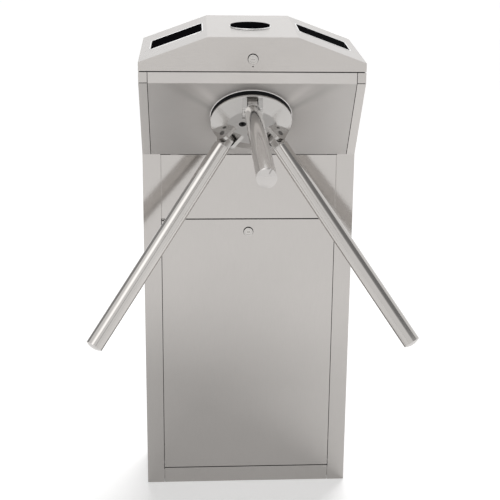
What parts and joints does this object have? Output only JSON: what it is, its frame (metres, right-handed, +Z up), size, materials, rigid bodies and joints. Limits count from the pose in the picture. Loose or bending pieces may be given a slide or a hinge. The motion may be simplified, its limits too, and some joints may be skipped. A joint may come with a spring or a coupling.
{
  "type": "tripod turnstile",
  "caption": "Stainless cabinet turnstile: a slanted panel carries a sprung rotating hub with folding tube arms, under a hinged lid with reader windows.",
  "frame": {"origin": "centre of the anchor-hole pattern, on the underside of the base plate", "axes": "+Z up, -Y the passage side from which the arms stand out, +X across the cabinet"},
  "size_m": [0.6098, 0.7568, 0.9792],
  "materials": {
    "stainless_sheet": "brushed stainless sheet",
    "stainless_bright_sheet": "finely ground, reflective stainless sheet",
    "stainless_tube": "polished stainless",
    "hub_casting": "satin cast and machined",
    "mechanism_casting": "as cast, machined faces",
    "bright_steel": "polished",
    "plated_steel": "zinc plated",
    "machined_steel": "machined, lightly oiled",
    "black_rubber": "matt",
    "black_acrylic": "gloss",
    "black_plastic": "moulded",
    "circuit_board": "solder mask",
    "coil_steel": "blackened",
    "perforated_case": "plain sheet"
  },
  "bodies": {
    "cabinet": {"base_plate": "plated_steel", "cable_grommet": "black_rubber", "left_side": "stainless_sheet", "right_side": "stainless_sheet", "back_panel": "stainless_sheet", "front_panel": "stainless_sheet", "kick_strip": "stainless_sheet", "hub_panel": "stainless_bright_sheet", "cabinet_screws": "plated_steel", "lid_gasket": "black_rubber", "door_hinge_brackets": "plated_steel", "door_hinge_pins": "plated_steel", "lid_hinge_leaves": "plated_steel", "lid_hinge_pins": "plated_steel", "hub_ring": "bright_steel", "shaft_bearings": "machined_steel", "mech_front_plate": "mechanism_casting", "mech_rear_plate": "mechanism_casting", "mech_nuts": "plated_steel", "encoder_sensor": "black_plastic", "centring_spring": "machined_steel", "rotary_damper": "black_plastic", "solenoids": "coil_steel", "equipment_tray": "plated_steel", "control_board": "circuit_board", "power_supply": "perforated_case", "battery": "black_plastic"},
    "rotor": {"hub_seal": "black_rubber", "hub_body": "hub_casting", "hub_bolts": "plated_steel", "arm_pins": "bright_steel", "main_shaft": "machined_steel", "shaft_nut": "plated_steel", "shaft_gear": "machined_steel", "index_disc": "machined_steel", "encoder_disc": "machined_steel"},
    "crank": {"centring_crank": "machined_steel"},
    "arm_1": {"arm_1_tongue": "hub_casting", "arm_1_tube": "stainless_tube", "arm_1_cap": "stainless_tube"},
    "arm_2": {"arm_2_tongue": "hub_casting", "arm_2_tube": "stainless_tube", "arm_2_cap": "stainless_tube"},
    "arm_3": {"arm_3_tongue": "hub_casting", "arm_3_tube": "stainless_tube", "arm_3_cap": "stainless_tube"},
    "lid_leaf": {"lid": "stainless_sheet", "lid_windows": "black_acrylic", "card_readers": "black_plastic", "indicator_lens": "black_acrylic", "indicator_board": "circuit_board", "lid_lock_body": "bright_steel", "lid_hinge_straps": "plated_steel"},
    "lid_key": {"lid_lock_barrel": "bright_steel"},
    "door_leaf": {"service_door": "stainless_sheet", "door_lock_body": "bright_steel"},
    "door_key": {"door_lock_barrel": "bright_steel"},
    "left_bolt": {"left_lock_bolt": "machined_steel"},
    "right_bolt": {"right_lock_bolt": "machined_steel"}
  },
  "joints": [
    {"name": "rotor_spin", "type": "hinge", "parent": "cabinet", "child": "rotor", "pos_m": [0, -0.1454, 0.81463], "axis": [0, -0.7934, -0.6088], "continuous": true},
    {"name": "crank_spin", "type": "hinge", "parent": "cabinet", "child": "crank", "pos_m": [0, -0.10887, 0.76703], "axis": [0, -0.7934, -0.6088], "continuous": true, "deforming": ["centring_spring"]},
    {"name": "arm_1_drop", "type": "hinge", "parent": "rotor", "child": "arm_1", "pos_m": [0, -0.20226, 0.83781], "axis": [1, 0, 0], "range_deg": [0, 90]},
    {"name": "arm_2_drop", "type": "hinge", "parent": "rotor", "child": "arm_2", "pos_m": [-0.0459, -0.15386, 0.77473], "axis": [-0.5, -0.5272, 0.6871], "range_deg": [0, 35]},
    {"name": "arm_3_drop", "type": "hinge", "parent": "rotor", "child": "arm_3", "pos_m": [0.0459, -0.15386, 0.77473], "axis": [-0.5, 0.5272, -0.6871], "range_deg": [0, 35]},
    {"name": "lid_lift", "type": "hinge", "parent": "cabinet", "child": "lid_leaf", "pos_m": [0, 0.0805, 0.912], "axis": [-1, 0, 0], "range_deg": [0, 75]},
    {"name": "lid_lock_turn", "type": "hinge", "parent": "lid_leaf", "child": "lid_key", "pos_m": [0, -0.204, 0.9355], "axis": [0, 1, 0], "range_deg": [0, 90]},
    {"name": "door_swing", "type": "hinge", "parent": "cabinet", "child": "door_leaf", "pos_m": [0, -0.068, 0.0435], "axis": [1, 0, 0], "range_deg": [0, 80]},
    {"name": "door_lock_turn", "type": "hinge", "parent": "door_leaf", "child": "door_key", "pos_m": [0, -0.076, 0.563], "axis": [0, -1, 0], "range_deg": [0, 90]},
    {"name": "left_bolt_slide", "type": "slide", "parent": "cabinet", "child": "left_bolt", "axis": [1, 0, 0], "range_m": [0, 0.007], "stiffness_N_per_m": 120},
    {"name": "right_bolt_slide", "type": "slide", "parent": "cabinet", "child": "right_bolt", "axis": [-1, 0, 0], "range_m": [0, 0.007], "stiffness_N_per_m": 120}
  ],
  "couplings": [
    {"joint": "crank_spin", "follows": "rotor_spin", "ratio": -3}
  ]
}
